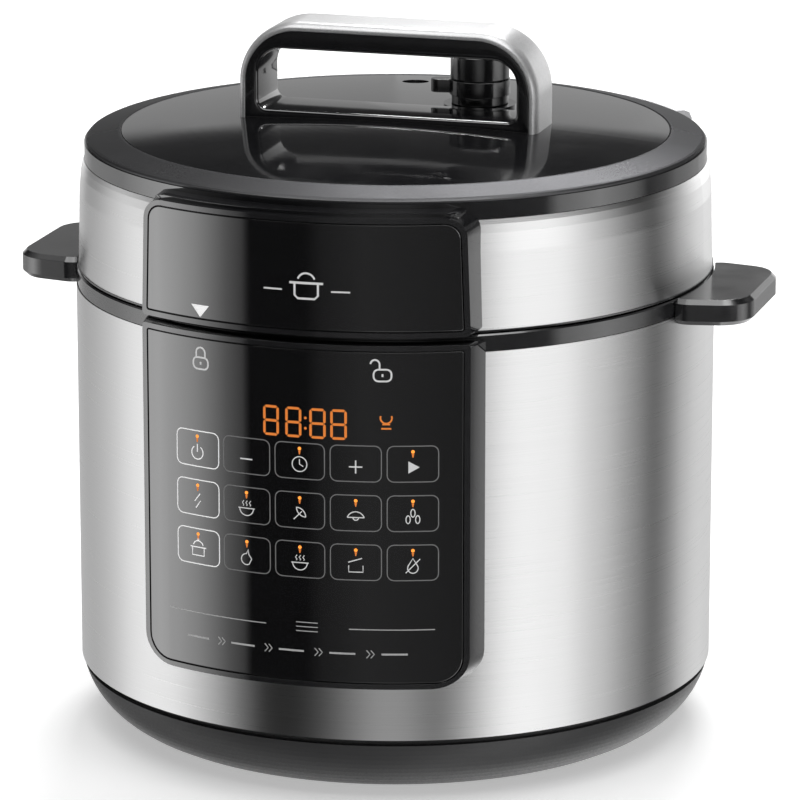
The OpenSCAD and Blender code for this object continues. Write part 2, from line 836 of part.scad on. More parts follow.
module lid_cover() {
    skin = 2.7;
    skirt_r = 132.7;
    color([0.04, 0.04, 0.04])
    difference() {
        union() {
            rotate_extrude()
                polygon(concat(
                    [[skirt_r, 240], [skirt_r, band_z1 + 0.2], [cover_r, band_z1 + 0.2],
                     [cover_r, ledge_z], [dome_r, ledge_z + 3]],
                    dome_points(dome_r, 0, 0, 24),
                    dome_points(0, 117, skin, 24),
                    [[127.5, 257.6], [130.5, 254.6], [130.5, 240]]));
            around(ears_deg) rod(screw_at, 0, 4.5, ear_z + 3, 259);
            rod(valve_at[0], valve_at[1], 16, 263, lid_top + 0.6);
            rod(float_at[0], float_at[1], 7.6, 256, dome_z(float_rad + 7.6));
        }
        around(ears_deg) rod(screw_at, 0, 1.9, ear_z, 240);
        rod(valve_at[0], valve_at[1], 7, 200, 300);
        rod(float_at[0], float_at[1], 6, 200, 300);
        for (x = [-1, 1], y = [-8, 8]) rod(x * 61.2, y, 1.8, 200, 300);
    }
}

module rim_ring() {
    rise = 3 * (cover_r - 0.7 - dome_r) / (cover_r - dome_r);
    color([0.3, 0.3, 0.31])
    rotate_extrude()
        polygon([
            [cover_r - 0.7, ledge_z + 0.18], [cover_r - 0.7, 259.9], [cover_r - 1.3, 260.6],
            [cover_r - 2.4, 261], [121.2, 263.6], [120.2, 263.7], [dome_r + 0.2, 263.3],
            [dome_r + 0.2, ledge_z + rise + 0.16]]);
}

module lid_panel_frame() {
    z0 = lid_panel_z0;
    z1 = lid_panel_z1;
    color([0.05, 0.05, 0.05]) {
        difference() {
            union() {
                panel_block(z0, z1, 1.5, 9, lid_draft, lid_lean);
                intersection() {
                    panel_block(z0 + 10, z1 + 1.2, 1.5, 9, lid_draft, lid_lean);
                    translate([0, 0, 200]) cylinder(r = panel_r - 4, h = 100);
                    box([-66, -170, 200], [66, -100, 270]);
                }
            }
            lid_inside();
            glass_pocket(z0, z1, 3.5, 9, lid_lean);
            side_notch(z0 - 1.2);
        }
        difference() {
            lid_pegs([-110, -70]);
            translate([0, 0, 200]) pipe(140.5, 160, 0, 60);
        }
    }
}

// Everything inside the lid's steel band and the black band above it
module lid_inside() {
    rotate_extrude()
        polygon(concat(
            [[0, 190], [body_r - 1, 190]], band_points(0.1),
            [[cover_r + 0.1, band_z1 + 0.1], [cover_r + 0.1, 300], [0, 300]]));
}

module lid_panel_glass() {
    color([0.02, 0.02, 0.02])
    panel_glass(lid_panel_z0, lid_panel_z1, 3.5, 9, lid_lean);
}

module lid_rear_cover() {
    z0 = 206;
    z1 = 257.5;
    color([0.55, 0.55, 0.56]) {
        difference() {
            intersection() {
                rotate_extrude()
                    polygon([
                        [130, z0], [panel_r - 1.5, z0], [panel_r, z0 + 1.5], [panel_r, z1 - 4],
                        [panel_r - 1.2, z1 - 1.2], [panel_r - 4, z1], [130, z1]]);
                rotate([0, 0, 90]) wedge(92);
            }
            lid_inside();
        }
        difference() {
            lid_pegs([65, 90, 115]);
            translate([0, 0, 200]) pipe(140.5, 160, 0, 60);
        }
    }
}

module lid_screws() {
    color([0.7, 0.7, 0.7])
    around(ears_deg) screw_up(screw_at, 0, 3.4, 1.8, ear_z - 2.4, 238);
}

module pressure_lid() {
    rim_z = seat_z + 2.5;
    color([0.75, 0.75, 0.75])
    difference() {
        union() {
            rotate_extrude()
                polygon([
                    [seat_r, seat_z], [seat_r, rim_z], [106, rim_z], [103.4, 219],
                    [103, 232], [101, 237], [88, 240.3], [60, 244], [30, 246.2], [0, crown_z],
                    [0, crown_z - 2], [30, 244.2], [60, 242], [87.5, 238.3], [99.5, 235.2],
                    [101, 231.5], [101.4, 218.2], [103.8, seat_z]]);
            around([for (i = [0:lugs - 1]) i * 360 / lugs])
                intersection() {
                    pipe(seat_r - 1, neck_r - well_t - 0.5, seat_z, rim_z);
                    wedge(lug_deg);
                }
            rod(valve_at[0], valve_at[1], 12, boss_z, crown_z);
            rod(float_at[0], float_at[1], 7.5, 235.8, slider_z - gap);
            around(ears_deg) rod(stud_at, 0, 2.5, rim_z - e, 231);
        }
        rod(valve_at[0], valve_at[1], 5.05, 200, 300);
        rod(float_at[0], float_at[1], 3.2, 200, 300);
    }
}

module lid_nuts() {
    color([0.7, 0.7, 0.7])
    around(ears_deg)
        difference() {
            translate([stud_at, 0, ear_z + 3]) cylinder(r = 4.6, h = 3.6, $fn = 6);
            rod(stud_at, 0, 2.55, 200, 240);
        }
}

carrier_z = 207.9;
module seal_carrier() {
    color([0.78, 0.78, 0.78])
    difference() {
        rotate_extrude()
            polygon([
                [0, carrier_z], [114.5, carrier_z], [114.5, carrier_z + 1], [0, carrier_z + 1]]);
        around([for (i = [0:11]) i * 30 + 15]) rod(96, 0, 3.5, 200, 220);
        rod(0, 0, 6, 200, 220);
    }
}

module carrier_grommet() {
    color([0.7, 0.7, 0.68])
    difference() {
        union() {
            rod(0, 0, 5.9, carrier_z - 0.5, carrier_z + 1.5);
            rod(0, 0, 9, carrier_z - 3, carrier_z);
            rod(0, 0, 8, carrier_z + 1, carrier_z + 3);
            rod(0, 0, 4, carrier_z + 3 - e, crown_z - 2.3);
        }
        rod(0, 0, 6, carrier_z - 4, carrier_z - 1.5);
    }
}

// ---------------------------------------------------------------- lid handle

// Arch outline that runs below the dome at its feet
module arch(half, top, corner_r, w) {
    rotate([90, 0, 0]) translate([0, 0, -w / 2])
        linear_extrude(w) polygon(plate_outline(half, 240, top, 1, corner_r));
}

module dome_solid(grow) {
    rotate_extrude()
        polygon(concat([[0, 200], [dome_r, 200]], dome_points(dome_r, 0, -grow, 24)));
}

module handle_core() {
    half = handle_half - handle_wall - gap;
    top = handle_top - handle_wall - gap;
    color([0.03, 0.03, 0.03])
    difference() {
        arch(half, top, 23.5, handle_w);
        rotate([90, 0, 0]) translate([0, 0, -30])
            linear_extrude(60)
                polygon(plate_outline(opening_half, opening_z0, opening_z1, 4, 11));
        dome_solid(0.05);
        for (x = [-1, 1], y = [-8, 8]) rod(x * 61.2, y, 1.6, 200, 278);
    }
}

module handle_cover() {
    color([0.8, 0.8, 0.8])
    difference() {
        arch(handle_half, handle_top, 27, handle_w + 0.6);
        arch(handle_half - handle_wall, handle_top - handle_wall, 23.7, handle_w + 10);
        dome_solid(0.05);
    }
}

module handle_screws() {
    z0 = dome_z(61.2) - 2.7;
    color([0.7, 0.7, 0.7])
    for (x = [-1, 1], y = [-8, 8]) screw_up(x * 61.2, y, 3, 1.5, z0 - 2.8, 276);
}

// ---------------------------------------------------------------- valves

module steam_pipe() {
    color([0.75, 0.75, 0.72])
    translate([valve_at[0], valve_at[1], 0])
        difference() {
            union() {
                rod(0, 0, 5, nut_z - 3.2, 277);
                rod(0, 0, 9, crown_z, crown_z + 2);
                translate([0, 0, 277 - e]) cylinder(r1 = 5, r2 = 3, h = 3, $fn = 48);
            }
            rod(0, 0, 2, 200, 300);
        }
}

module steam_pipe_nut() {
    color([0.7, 0.7, 0.7])
    translate([valve_at[0], valve_at[1], 0])
        difference() {
            translate([0, 0, nut_z]) cylinder(r = 8, h = 4.2, $fn = 6);
            rod(0, 0, 5.05, 200, 300);
        }
}

module steam_shield() {
    shield_z = nut_z - 17;
    color([0.8, 0.8, 0.8])
    translate([valve_at[0], valve_at[1], 0])
        difference() {
            rod(0, 0, 10.5, shield_z, nut_z - gap);
            rod(0, 0, 9.5, shield_z + 1, nut_z - 1.6);
            rod(0, 0, 5.05, nut_z - 5, nut_z + 1);
            for (a = [0:30:330], z = [shield_z + 4, shield_z + 8, shield_z + 12])
                rotate([0, 0, a]) translate([9, 0, z]) rotate([0, 90, 0])
                    cylinder(r = 1.1, h = 3, $fn = 24);
        }
}

collar_z0 = 273.4;
collar_z1 = 280.2;
module valve_collar() {
    color([0.07, 0.07, 0.07])
    translate([valve_at[0], valve_at[1], 0])
        difference() {
            union() {
                rod(0, 0, 13.4, collar_z0, collar_z1);
                rod(0, 0, 12.6, lid_top + 0.9, collar_z0 + e);
                rotate([0, 0, 190]) {
                    box([8, -3.6, collar_z0 + 0.6], [18, 3.6, collar_z1 - 0.4]);
                    translate([18, 0, collar_z0 + 0.6])
                        cylinder(r = 3.6, h = collar_z1 - collar_z0 - 1, $fn = 48);
                }
            }
            rod(0, 0, 6.5, 200, 300);
        }
}

module pressure_valve() {
    color([0.05, 0.05, 0.05])
    translate([valve_at[0], valve_at[1], 0])
        difference() {
            union() {
                rod(0, 0, 13, collar_z1 + 0.3, 291);
                rod(0, 0, 11.6, 291 - e, 292);
            }
            translate([0, 0, 276]) cylinder(r1 = 6.7, r2 = 3.2, h = 6, $fn = 48);
            rod(0, 0, 2.2, 276, 285);
        }
}

module float_valve() {
    color([0.75, 0.2, 0.15])
    translate([float_at[0], float_at[1], 0]) {
        rod(0, 0, 3, 234, 258);
        rod(0, 0, 5, 258 - e, dome_z(float_rad) - 3.5);
        rod(0, 0, 4.6, 225, 227.3);
        rod(0, 0, 2.4, 227.3 - e, 234 + e);
    }
}

module float_seal() {
    color([0.85, 0.85, 0.82])
    translate([float_at[0], float_at[1], 0]) pipe(2.45, 4.8, 227.35, 229.6);
}

module interlock_slider() {
    travel = 5;
    color([0.65, 0.65, 0.65])
    rotate([0, 0, float_deg])
        difference() {
            union() {
                box([84, -6.5, slider_z], [120, 6.5, slider_z + 1.5]);
                box([118.5, -6.5, 222], [120, 6.5, slider_z + e]);
            }
            box([float_rad - 3.7, -3.7, 200], [float_rad + travel + 3.7, 3.7, 260]);
        }
}

rubber_feet();
base_pan();
base_screws();
outer_shell();
middle_ring();
carry_handle_left();
carry_handle_right();
carry_handle_screws();
control_panel_frame();
control_panel_glass();
display_module();
control_board();
touch_pads();
board_screws();
power_board();
transformer();
relay();
capacitors();
outer_pot();
elastic_plate();
heating_plate();
heater_screws();
element_terminals();
thermostat_holder();
thermostat_sensor();
sensor_spring();
thermal_fuse();
pressure_switch();
power_inlet();
inlet_pins();
cup_bracket();
condensate_cup();
mains_leads();
heater_leads();
ribbon_cable();
inner_pot();
sealing_ring();
lid_base_ring();
lid_band();
lid_cover();
rim_ring();
lid_panel_frame();
lid_panel_glass();
lid_rear_cover();
lid_screws();
pressure_lid();
lid_nuts();
seal_carrier();
carrier_grommet();
handle_core();
handle_cover();
handle_screws();
steam_pipe();
steam_pipe_nut();
steam_shield();
valve_collar();
pressure_valve();
float_valve();
float_seal();
interlock_slider();
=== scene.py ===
import json
import math

import bmesh
import bpy
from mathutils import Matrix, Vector
from mathutils.bvhtree import BVHTree


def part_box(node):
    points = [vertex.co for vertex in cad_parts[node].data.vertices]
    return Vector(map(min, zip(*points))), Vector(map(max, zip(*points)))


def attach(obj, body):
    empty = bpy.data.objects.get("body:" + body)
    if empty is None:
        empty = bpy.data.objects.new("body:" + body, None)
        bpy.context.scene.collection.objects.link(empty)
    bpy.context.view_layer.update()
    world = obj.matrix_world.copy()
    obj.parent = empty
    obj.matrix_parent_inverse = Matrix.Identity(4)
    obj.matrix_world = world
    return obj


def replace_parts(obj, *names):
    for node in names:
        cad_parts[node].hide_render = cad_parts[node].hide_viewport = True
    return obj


# Electric pressure cooker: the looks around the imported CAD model.
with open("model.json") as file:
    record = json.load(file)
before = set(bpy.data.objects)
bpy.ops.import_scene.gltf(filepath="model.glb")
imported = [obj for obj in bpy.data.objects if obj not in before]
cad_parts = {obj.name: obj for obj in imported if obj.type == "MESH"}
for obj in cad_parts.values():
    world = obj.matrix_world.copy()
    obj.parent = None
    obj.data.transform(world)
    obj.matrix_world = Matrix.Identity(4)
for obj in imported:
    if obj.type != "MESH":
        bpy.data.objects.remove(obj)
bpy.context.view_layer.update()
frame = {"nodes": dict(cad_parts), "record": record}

MM = 0.001
NODES = frame["nodes"]

# ------------------------------------------------------------------ sizes, from the frame

handle_lo, handle_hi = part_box("handle_cover")
core_lo, core_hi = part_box("handle_core")
glass_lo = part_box("control_panel_glass")[0]
lid_glass_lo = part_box("lid_panel_glass")[0]
GLASS_R = -glass_lo.y

HANDLE_WALL = handle_hi.z - core_hi.z
HANDLE_CORNER = 27 * MM
HANDLE_CROWN = 6 * MM
HANDLE_LIP = 0.3 * MM
OPENING_HALF = handle_hi.x - 9.2 * MM
OPENING_LOW = handle_hi.z - 38.6 * MM
OPENING_HIGH = handle_hi.z - 11.7 * MM
OPENING_R_LOW = 4 * MM
OPENING_R_HIGH = 11 * MM
GRIP_FOOT_R = 0.2 * MM
GRIP_EDGE = 0.5 * MM
OPENING_EDGE = 1.6 * MM
SEAT_GAP = 0.05 * MM

# ------------------------------------------------------------------ material building


class Look:
    """A Principled material, with helpers for procedural detail in the model's own coordinates."""

    def __init__(self, name, color, roughness, metallic=0.0):
        self.material = bpy.data.materials.new(name)
        self.material.use_nodes = True
        self.nodes = self.material.node_tree.nodes
        self.links = self.material.node_tree.links
        self.shader = self.nodes["Principled BSDF"]
        self.place = self.nodes.new("ShaderNodeTexCoord")
        self.set("Base Color", (*color, 1))
        self.set("Roughness", roughness)
        self.set("Metallic", metallic)
        self.bumps = None

    def set(self, socket, value):
        """Sets one of the shader's own sockets."""
        self.shader.inputs[socket].default_value = value

    def noise(self, scale, detail=3.0, stretch=(1, 1, 1)):
        """Noise with a feature of about 1 / scale metres, stretched per axis."""
        mapping = self.nodes.new("ShaderNodeMapping")
        mapping.inputs["Scale"].default_value = stretch
        texture = self.nodes.new("ShaderNodeTexNoise")
        texture.inputs["Scale"].default_value = scale
        texture.inputs["Detail"].default_value = detail
        self.links.new(self.place.outputs["Object"], mapping.inputs["Vector"])
        self.links.new(mapping.outputs["Vector"], texture.inputs["Vector"])
        return texture.outputs["Fac"]

    def wave(self, scale, direction, distortion):
        """Parallel bands across one axis."""
        texture = self.nodes.new("ShaderNodeTexWave")
        texture.bands_direction = direction
        texture.inputs["Scale"].default_value = scale
        texture.inputs["Distortion"].default_value = distortion
        self.links.new(self.place.outputs["Object"], texture.inputs["Vector"])
        return texture.outputs["Fac"]

    def spread(self, value, low, high, start=0.3, end=0.7):
        """A pattern's value mapped to a range."""
        node = self.nodes.new("ShaderNodeMapRange")
        node.inputs["From Min"].default_value = start
        node.inputs["From Max"].default_value = end
        node.inputs["To Min"].default_value = low
        node.inputs["To Max"].default_value = high
        self.links.new(value, node.inputs["Value"])
        return node.outputs["Result"]

    def roughen(self, value, low, high):
        """Roughness that moves between two values with a pattern."""
        self.links.new(self.spread(value, low, high), self.shader.inputs["Roughness"])

    def tint(self, value, dark, light):
        """Colour that moves between two values with a pattern."""
        ramp = self.nodes.new("ShaderNodeValToRGB")
        ramp.color_ramp.elements[0].position = 0.3
        ramp.color_ramp.elements[1].position = 0.7
        ramp.color_ramp.elements[0].color = (*dark, 1)
        ramp.color_ramp.elements[1].color = (*light, 1)
        self.links.new(value, ramp.inputs["Fac"])
        self.links.new(ramp.outputs["Color"], self.shader.inputs["Base Color"])

    def bump(self, value, strength, depth):
        """Relief from a pattern, on top of the bumps already there."""
        node = self.nodes.new("ShaderNodeBump")
        node.inputs["Strength"].default_value = strength
        node.inputs["Distance"].default_value = depth
        self.links.new(value, node.inputs["Height"])
        if self.bumps:
            self.links.new(self.bumps, node.inputs["Normal"])
        self.bumps = node.outputs["Normal"]
        self.links.new(self.bumps, self.shader.inputs["Normal"])


def shade(color, factor):
    """A colour made darker or lighter."""
    return tuple(min(1.0, c * factor) for c in color)


def brushed_steel(name, color, roughness=0.29):
    """Steel brushed round the body: level hair lines that smear reflections up and down."""
    look = Look(name, color, roughness, 1.0)
    look.set("Anisotropic", 0.8)
    look.set("Anisotropic Rotation", 0.25)
    hair = look.noise(1.0, 4, (9, 9, 3200))
    look.tint(hair, shade(color, 0.97), shade(color, 1.03))
    look.roughen(hair, roughness - 0.02, roughness + 0.03)
    look.bump(hair, 0.015, 0.03 * MM)
    return look.material


def plain_steel(name, color, roughness=0.3):
    """Drawn or turned steel with fine grain."""
    look = Look(name, color, roughness, 1.0)
    grain = look.noise(420, 4)
    look.tint(look.noise(60, 3), shade(color, 0.88), shade(color, 1.08))
    look.roughen(grain, roughness - 0.06, roughness + 0.1)
    look.bump(grain, 0.08, 0.05 * MM)
    return look.material


def gloss_black(name, color, roughness=0.05, ior=2.2):
    """Polished plastic with faint smears and a slight ripple."""
    look = Look(name, color, roughness)
    look.set("IOR", ior)
    smear = look.noise(28, 5, (1, 1, 0.6))
    look.tint(look.noise(300, 2), shade(color, 0.8), shade(color, 1.25))
    look.roughen(smear, roughness * 0.7, roughness * 1.9)
    look.bump(look.noise(45, 1), 0.012, 0.3 * MM)
    return look.material


def satin_plastic(name, color, roughness=0.38, grain=1500, depth=0.03):
    """Moulded plastic with a fine spark-eroded grain."""
    look = Look(name, color, roughness)
    fine = look.noise(grain, 3)
    look.tint(look.noise(25, 4), shade(color, 0.85), shade(color, 1.15))
    look.roughen(fine, roughness - 0.06, roughness + 0.1)
    look.bump(fine, 0.3, depth * MM)
    return look.material


def metallic_paint(name, color, roughness=0.33, metallic=0.85, edge=1.0):
    """Metallic coating: fine flakes under a satin surface, with a chosen grazing reflection."""
    look = Look(name, color, roughness, metallic)
    look.set("Specular Tint", (edge, edge, edge, 1))
    flake = look.noise(2600, 2)
    look.tint(flake, shade(color, 0.8), shade(color, 1.25))
    look.roughen(look.noise(35, 2), roughness - 0.01, roughness + 0.02)
    look.bump(flake, 0.05, 0.01 * MM)
    return look.material


def rubber(name, color, roughness=0.62):
    """Dull moulded rubber, or a wire's sleeve."""
    look = Look(name, color, roughness)
    grain = look.noise(900, 4)
    look.tint(look.noise(70, 3), shade(color, 0.8), shade(color, 1.2))
    look.roughen(grain, roughness - 0.08, roughness + 0.1)
    look.bump(grain, 0.3, 0.05 * MM)
    return look.material


def silicone(name, color):
    """Milky silicone that lets some light in."""
    look = Look(name, color, 0.42)
    look.set("Subsurface Weight", 0.25)
    look.set("Subsurface Radius", (2 * MM, 2 * MM, 2 * MM))
    look.roughen(look.noise(240, 3), 0.36, 0.52)
    look.tint(look.noise(40, 3), shade(color, 0.93), shade(color, 1.04))
    look.bump(look.noise(900, 2), 0.1, 0.03 * MM)
    return look.material


def clear_plastic(name, color):
    """Frosted clear plastic."""
    look = Look(name, color, 0.3)
    look.set("Transmission Weight", 0.55)
    look.set("IOR", 1.49)
    frost = look.noise(1200, 3)
    look.roughen(frost, 0.24, 0.4)
    look.tint(look.noise(30, 2), shade(color, 0.95), shade(color, 1.04))
    look.bump(frost, 0.08, 0.03 * MM)
    return look.material


def circuit_board(name, color):
    """Green lacquer over copper traces."""
    look = Look(name, color, 0.35)
    traces = look.nodes.new("ShaderNodeTexVoronoi")
    traces.distance = "MANHATTAN"
    traces.inputs["Scale"].default_value = 260
    look.links.new(look.place.outputs["Object"], traces.inputs["Vector"])
    look.tint(traces.outputs["Distance"], shade(color, 1.7), color)
    look.roughen(look.noise(500, 2), 0.3, 0.42)
    look.bump(traces.outputs["Distance"], 0.15, 0.05 * MM)
    return look.material


def wound(name, color, scale=260):
    """Parallel strands: a winding, or the cores of a ribbon cable."""
    look = Look(name, color, 0.4)
    strands = look.wave(scale, "X", 0.4)
    look.tint(strands, shade(color, 0.5), shade(color, 1.3))
    look.roughen(look.noise(200, 3), 0.32, 0.5)
    look.bump(strands, 0.5, 0.1 * MM)
    return look.material


def printed(name, color, glow=0.0):
    """Printed marking on the glass with a faint painted glow, or the marking of a lit lamp."""
    look = Look(name, color, 0.4)
    look.set("Emission Color", (*color, 1))
    look.set("Emission Strength", glow)
    grain = look.noise(1800, 2)
    look.tint(grain, shade(color, 0.93), shade(color, 1.05))
    look.roughen(grain, 0.34, 0.48)
    return look.material


LOOKS = {
    "brushed_steel": brushed_steel("brushed_steel_look", (0.80, 0.80, 0.80)),
    "plain_steel": plain_steel("plain_steel_look", (0.68, 0.68, 0.68)),
    "zinc_steel": plain_steel("zinc_look", (0.60, 0.61, 0.62), 0.35),
    "black_gloss": gloss_black("black_gloss_look", (0.010, 0.010, 0.011)),
    "panel_glass": gloss_black("panel_glass_look", (0.002, 0.002, 0.0025), 0.035, 2.4),
    "black_satin": gloss_black("black_satin_look", (0.014, 0.014, 0.015), 0.10, 2.1),
    "base_plastic": satin_plastic("base_plastic_look", (0.030, 0.030, 0.031), 0.42, 1200, 0.05),
    "rim_grey": metallic_paint("rim_grey_look", (0.11, 0.11, 0.113), 0.34, 0.8, 0.15),
    "handle_silver": metallic_paint("handle_silver_look", (0.58, 0.58, 0.585), 0.29, 0.5),
    "rear_grey": metallic_paint("rear_grey_look", (0.42, 0.42, 0.43), 0.36),
    "foot_rubber": rubber("foot_rubber_look", (0.022, 0.022, 0.022)),
    "silicone": silicone("silicone_look", (0.80, 0.80, 0.77)),
    "cast_aluminium": plain_steel("cast_aluminium_look", (0.72, 0.72, 0.73), 0.4),
    "nonstick": satin_plastic("nonstick_look", (0.045, 0.045, 0.048), 0.34, 700, 0.06),
    "circuit_green": circuit_board("circuit_green_look", (0.015, 0.11, 0.045)),
    "component_black": satin_plastic("component_black_look", (0.02, 0.02, 0.022), 0.5),
    "relay_blue": satin_plastic("relay_blue_look", (0.02, 0.06, 0.30), 0.35),
    "winding": wound("winding_look", (0.35, 0.18, 0.06)),
    "contact_metal": plain_steel("contact_metal_look", (0.80, 0.68, 0.42), 0.28),
    "ceramic": satin_plastic("ceramic_look", (0.78, 0.76, 0.70), 0.5, 600, 0.05),
    "wire_brown": rubber("wire_brown_look", (0.20, 0.08, 0.03), 0.5),
    "wire_red": rubber("wire_red_look", (0.50, 0.03, 0.02), 0.5),
    "ribbon_grey": wound("ribbon_grey_look", (0.45, 0.45, 0.47), 300),
    "cup_clear": clear_plastic("cup_clear_look", (0.80, 0.83, 0.85)),
}
# The printed marks carry a small emission: a painted glow on print, which is no lamp.
PRINT_WHITE_PAINTED_GLOW = printed("print_white_painted_glow", (0.86, 0.86, 0.86), 0.35)
PRINT_SILVER_PAINTED_GLOW = printed("print_silver_painted_glow", (0.58, 0.58, 0.58), 0.28)
PRINT_GREY_PAINTED_GLOW = printed("print_grey_painted_glow", (0.42, 0.42, 0.42), 0.12)
PRINT_DIM_PAINTED_GLOW = printed("print_dim_painted_glow", (0.20, 0.20, 0.20), 0.05)
LED_BRIGHT = printed("led_bright", (1.0, 0.30, 0.03), 0.9)
LED_DIM = printed("led_dim", (0.75, 0.20, 0.02), 0.3)

for entry in frame["record"]["subparts"]:
    NODES[entry["node"]].data.materials.clear()
    NODES[entry["node"]].data.materials.append(LOOKS[entry["material_slot"]])


# ------------------------------------------------------------------ mesh building


def soften(node, width, angle=32):
    """Rounds a CAD node's hard edges, as moulded or rolled ones are."""
    obj = NODES[node]
    custom = obj.data.attributes.get("custom_normal")
    if custom:
        obj.data.attributes.remove(custom)
    obj.data.shade_smooth()
    weld = obj.modifiers.new("weld", "WELD")
    weld.merge_threshold = 0.002 * MM
    flat = obj.modifiers.new("flat", "DECIMATE")
    flat.decimate_type = "DISSOLVE"
    flat.angle_limit = math.radians(0.4)
    bevel = obj.modifiers.new("bevel", "BEVEL")
    bevel.width = width
    bevel.segments = 3
    bevel.limit_method = "ANGLE"
    bevel.angle_limit = math.radians(angle)
    bevel.use_clamp_overlap = True
    normals = obj.modifiers.new("normals", "WEIGHTED_NORMAL")
    normals.keep_sharp = True


def piece(name, verts, faces, body, material, sharp):
    """A mesh that rides on a body, shaded smooth except across sharp edges."""
    mesh = bpy.data.meshes.new(name)
    mesh.from_pydata(verts, [], faces)
    mesh.validate()
    tidy = bmesh.new()
    tidy.from_mesh(mesh)
    bmesh.ops.remove_doubles(tidy, verts=tidy.verts, dist=0.0005 * MM)
    bmesh.ops.recalc_face_normals(tidy, faces=tidy.faces)
    tidy.to_mesh(mesh)
    tidy.free()
    mesh.shade_smooth()
    mesh.set_sharp_from_angle(angle=math.radians(sharp))
    mesh.materials.append(material)
    obj = bpy.data.objects.new(name, mesh)
    bpy.context.scene.collection.objects.link(obj)
    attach(obj, body)
    return obj


def grid_faces(rings, points, close_rings, close_points):
    """Quads of a grid of rings by points, closed either way."""
    faces = []
    for i in range(rings if close_rings else rings - 1):
        for j in range(points if close_points else points - 1):
            a, b = i * points, ((i + 1) % rings) * points
            k = (j + 1) % points
            faces.append((a + j, a + k, b + k, b + j))
    return faces


def arc(cx, cy, r, start, end, n):
    """Points on an arc, both ends included, angles in degrees."""
    turn = [math.radians(start + (end - start) * i / n) for i in range(n + 1)]
    return [(cx + r * math.cos(a), cy + r * math.sin(a)) for a in turn]


def line(a, b, n):
    """Points between a and b, without b."""
    return [(a[0] + (b[0] - a[0]) * i / n, a[1] + (b[1] - a[1]) * i / n) for i in range(n)]


# ------------------------------------------------------------------ lid handle

dome_tree = BVHTree.FromObject(NODES["lid_cover"], bpy.context.evaluated_depsgraph_get())


def dome_z(x, y):
    """Height of the lid's dome under a point."""
    above = Vector((x, y, handle_hi.z + 0.1))
    return dome_tree.ray_cast(above, Vector((0, 0, -1)))[0].z


def arch_outline(half, top, corner, foot):
    """Outer line of the arch from its left foot over the top to its right foot, with normals."""
    side = 6
    points = [((-half, foot + (top - corner - foot) * i / side), (-1, 0)) for i in range(side)]
    for cx, start in ((corner - half, 180), (half - corner, 90)):
        for x, z in arc(0, 0, 1, start, start - 90, 16):
            points.append(((cx + corner * x, top - corner + corner * z), (x, z)))
    points += [((half, top - corner + (foot - top + corner) * (i + 1) / side), (1, 0))
               for i in range(side)]
    return points


def arch_section(width, wall):
    """Cross-section as (y, depth): broad crowned outer edges, small inner ones."""
    half = width / 2
    soft = wall - 2 * HANDLE_LIP
    outer = [(half - HANDLE_CROWN * (1 - y), soft * (1 + depth))
             for y, depth in arc(0, 0, 1, 0, -90, 10)]
    inner = arc(half - HANDLE_LIP, wall - HANDLE_LIP, HANDLE_LIP, 90, 0, 2)
    right = inner + outer
    return right + [(-y, d) for y, d in reversed(right)]


def make_handle_arch():
    """The silver arch: a shallow channel bent over the grip, seated on the dome."""
    width = handle_hi.y - handle_lo.y
    section = arch_section(width, HANDLE_WALL)
    foot = dome_z(handle_hi.x - 1 * MM, 0)
    path = arch_outline(handle_hi.x, handle_hi.z, HANDLE_CORNER, foot)
    verts = []
    for i, ((x, z), (nx, nz)) in enumerate(path):
        for y, depth in section:
            px, pz = x - nx * depth, z - nz * depth
            if i in (0, len(path) - 1):
                pz = dome_z(px, y) + SEAT_GAP
            verts.append((px, y, pz))
    n = len(section)
    faces = grid_faces(len(path), n, False, True)
    faces.append(tuple(range(n)))
    faces.append(tuple(range(len(verts) - n, len(verts))))
    obj = piece("handle_arch", verts, faces, "lid", LOOKS["handle_silver"], 50)
    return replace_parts(obj, "handle_cover")


def grip_loop(half, low, high, r_low, r_high):
    """Closed loop round the grip or its opening, from the lower left, clockwise from the front."""
    return (line((-half, low + r_low), (-half, high - r_high), 6)
            + arc(r_high - half, high - r_high, r_high, 180, 90, 14)[:-1]
            + line((r_high - half, high), (half - r_high, high), 16)
            + arc(half - r_high, high - r_high, r_high, 90, 0, 14)[:-1]
            + line((half, high - r_high), (half, low + r_low), 6)
            + arc(half - r_low, low + r_low, r_low, 0, -90, 8)[:-1]
            + line((half - r_low, low), (r_low - half, low), 24)
            + arc(r_low - half, low + r_low, r_low, -90, -180, 8)[:-1])


def make_handle_grip():
    """The black core of the handle: a rounded loop whose lower bar follows the dome."""
    rings = []

    def opening_loop(inset, y):
        """Loop round the finger gap."""
        loop = grip_loop(OPENING_HALF + inset, OPENING_LOW - inset, OPENING_HIGH + inset,
                         OPENING_R_LOW + inset, OPENING_R_HIGH + inset)
        return [(x, y, z) for x, z in loop]

    def outside_loop(inset, y):
        """Loop round the grip, its lowest points moved onto the dome."""
        loop = grip_loop(core_hi.x - inset, core_lo.z, core_hi.z - inset, GRIP_FOOT_R,
                         HANDLE_CORNER - HANDLE_WALL - inset)
        seated = core_lo.z + 1.5 * GRIP_FOOT_R
        return [(x, y, z if z > seated else dome_z(x, y) + SEAT_GAP + inset) for x, z in loop]

    for make_loop, radius, side in ((outside_loop, GRIP_EDGE, 1), (opening_loop, OPENING_EDGE, -1)):
        edge = arc(radius, core_hi.y - radius, radius, 180, 90, 5)[::-1]
        sweep = [(inset, -y) for inset, y in edge] + [(inset, y) for inset, y in reversed(edge)]
        rings += [make_loop(inset, y) for inset, y in sweep[::side]]
    verts = [p for ring in rings for p in ring]
    faces = grid_faces(len(rings), len(rings[0]), True, True)
    obj = piece("handle_grip", verts, faces, "lid", LOOKS["black_gloss"], 35)
    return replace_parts(obj, "handle_core")


make_handle_arch()
make_handle_grip()

# ------------------------------------------------------------------ panel markings

PRINT_LIFT = 0.05 * MM


